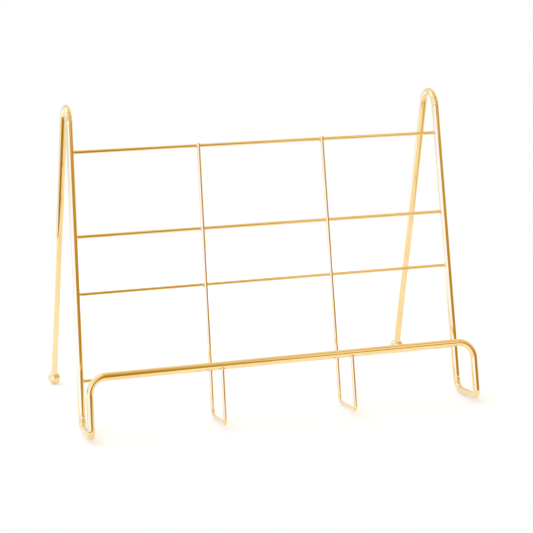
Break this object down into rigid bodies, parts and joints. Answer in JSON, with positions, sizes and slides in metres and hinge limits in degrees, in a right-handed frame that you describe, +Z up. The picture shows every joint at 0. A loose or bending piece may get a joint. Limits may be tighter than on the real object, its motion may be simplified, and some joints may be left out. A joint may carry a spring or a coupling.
{
  "type": "wire album stand",
  "caption": "Polished gold wire stand that leans an album or book back on a grid, with a front rail tray and ball-tipped back legs.",
  "frame": {"origin": "middle of the footprint, on the table that the stand stands on", "axes": "+X to the right of someone facing the stand, +Y towards the back legs, +Z up"},
  "size_m": [0.2874, 0.1622, 0.2185],
  "materials": {
    "gold_frame_wire": "polished gold-coloured plating on steel wire",
    "gold_grid_wire": "polished gold-coloured plating on thin steel wire",
    "gold_ball": "polished gold-coloured plating on a steel ball"
  },
  "bodies": {
    "root": {"ball_foot_left": "gold_ball", "ball_foot_right": "gold_ball", "crossbar_bottom": "gold_grid_wire", "crossbar_lower": "gold_grid_wire", "crossbar_top": "gold_grid_wire", "crossbar_upper": "gold_grid_wire", "hooked_wire_left": "gold_grid_wire", "hooked_wire_right": "gold_grid_wire", "main_frame": "gold_frame_wire"}
  },
  "joints": []
}
